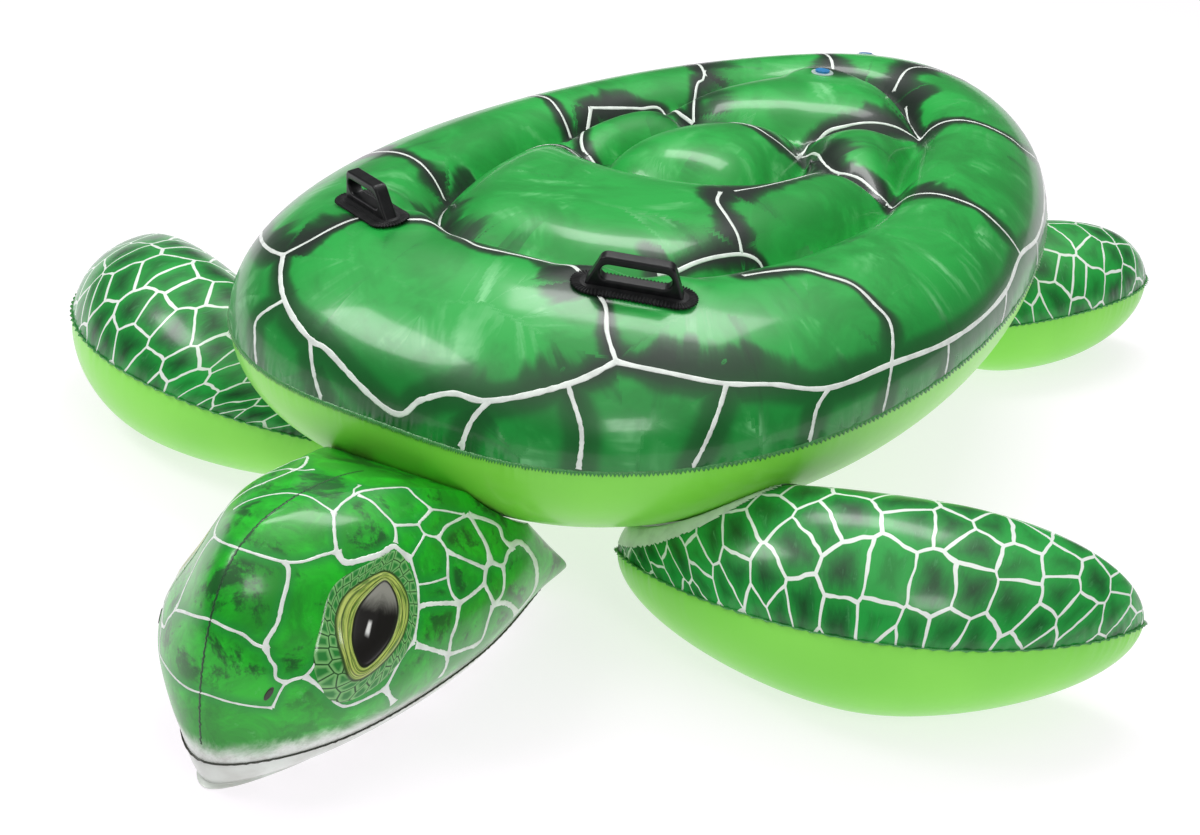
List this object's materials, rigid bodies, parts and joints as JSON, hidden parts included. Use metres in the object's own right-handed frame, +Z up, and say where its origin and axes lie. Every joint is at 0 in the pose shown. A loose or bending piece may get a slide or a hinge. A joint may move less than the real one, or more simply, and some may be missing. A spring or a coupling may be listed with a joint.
{
  "type": "inflatable turtle pool float",
  "caption": "Ride-on inflatable sea turtle: domed printed shell, head, hinged flippers, grab handles and push-in air valves.",
  "frame": {"origin": "on the floor, under the middle of the whole float's box", "axes": "+Z up; the head looks along -Y; the turtle's left side is +X"},
  "size_m": [1.3944, 1.6317, 0.4142],
  "materials": {
    "shell_print": "satin-gloss printed vinyl film",
    "lime_vinyl": "satin-gloss lime green vinyl film",
    "flipper_print": "satin-gloss printed vinyl film",
    "head_print": "satin-gloss printed vinyl film",
    "chin_vinyl": "satin-gloss printed vinyl film",
    "white_vinyl": "satin white vinyl film",
    "clear_vinyl": "unprinted vinyl film",
    "handle_rubber": "soft moulded black vinyl, ribbed edge",
    "handle_plastic": "moulded black plastic",
    "valve_clear": "soft translucent vinyl",
    "valve_blue": "soft blue vinyl"
  },
  "bodies": {
    "shell": {"shell_top_sheet": "shell_print", "shell_bottom_sheet": "lime_vinyl", "ring_baffle": "clear_vinyl", "saddle_baffle": "clear_vinyl", "seat_baffle": "clear_vinyl", "left_handle_patch": "handle_rubber", "left_handle_grip": "handle_plastic", "right_handle_patch": "handle_rubber", "right_handle_grip": "handle_plastic", "crown_valve_flange": "valve_clear", "tail_valve_flange": "valve_clear"},
    "head": {"head_left_panel": "head_print", "head_right_panel": "head_print", "head_chin_panel": "chin_vinyl", "head_patch": "white_vinyl"},
    "front_left_flipper": {"front_left_flipper_top": "flipper_print", "front_left_flipper_bottom": "lime_vinyl", "front_left_flipper_patch": "white_vinyl"},
    "front_right_flipper": {"front_right_flipper_top": "flipper_print", "front_right_flipper_bottom": "lime_vinyl", "front_right_flipper_patch": "white_vinyl"},
    "rear_left_flipper": {"rear_left_flipper_top": "flipper_print", "rear_left_flipper_bottom": "lime_vinyl", "rear_left_flipper_patch": "white_vinyl"},
    "rear_right_flipper": {"rear_right_flipper_top": "flipper_print", "rear_right_flipper_bottom": "lime_vinyl", "rear_right_flipper_patch": "white_vinyl"},
    "crown_valve_stem": {"crown_valve_stem": "valve_clear", "crown_valve_flap": "valve_clear"},
    "crown_valve_stopper": {"crown_valve_stopper": "valve_blue"},
    "tail_valve_stem": {"tail_valve_stem": "valve_clear", "tail_valve_flap": "valve_clear"},
    "tail_valve_stopper": {"tail_valve_stopper": "valve_blue"}
  },
  "joints": [
    {"name": "head_nod", "type": "hinge", "parent": "shell", "child": "head", "pos_m": [0, -0.331, 0.052], "axis": [0.9956, 0.0941, 0], "range_deg": [0, 12]},
    {"name": "front_left_flipper_droop", "type": "hinge", "parent": "shell", "child": "front_left_flipper", "pos_m": [0.189, -0.323, 0.09], "axis": [0.6, 0.8, 0], "range_deg": [0, 12]},
    {"name": "front_right_flipper_droop", "type": "hinge", "parent": "shell", "child": "front_right_flipper", "pos_m": [-0.189, -0.323, 0.09], "axis": [0.6, -0.8, 0], "range_deg": [0, 12]},
    {"name": "rear_left_flipper_droop", "type": "hinge", "parent": "shell", "child": "rear_left_flipper", "pos_m": [0.212, 0.432, 0.088], "axis": [-0.3878, 0.9217, 0], "range_deg": [0, 12]},
    {"name": "rear_right_flipper_droop", "type": "hinge", "parent": "shell", "child": "rear_right_flipper", "pos_m": [-0.212, 0.432, 0.088], "axis": [-0.3878, -0.9217, 0], "range_deg": [0, 12]},
    {"name": "crown_stem_slide", "type": "slide", "parent": "shell", "child": "crown_valve_stem", "axis": [0, 0.0279, 0.9996], "range_m": [0, 0.012]},
    {"name": "crown_stopper_pull", "type": "slide", "parent": "crown_valve_stem", "child": "crown_valve_stopper", "axis": [0, 0.0279, 0.9996], "range_m": [0, 0.014]},
    {"name": "tail_stem_slide", "type": "slide", "parent": "shell", "child": "tail_valve_stem", "axis": [-0.2164, 0.3725, 0.9024], "range_m": [0, 0.012]},
    {"name": "tail_stopper_pull", "type": "slide", "parent": "tail_valve_stem", "child": "tail_valve_stopper", "axis": [-0.2164, 0.3725, 0.9024], "range_m": [0, 0.014]}
  ]
}
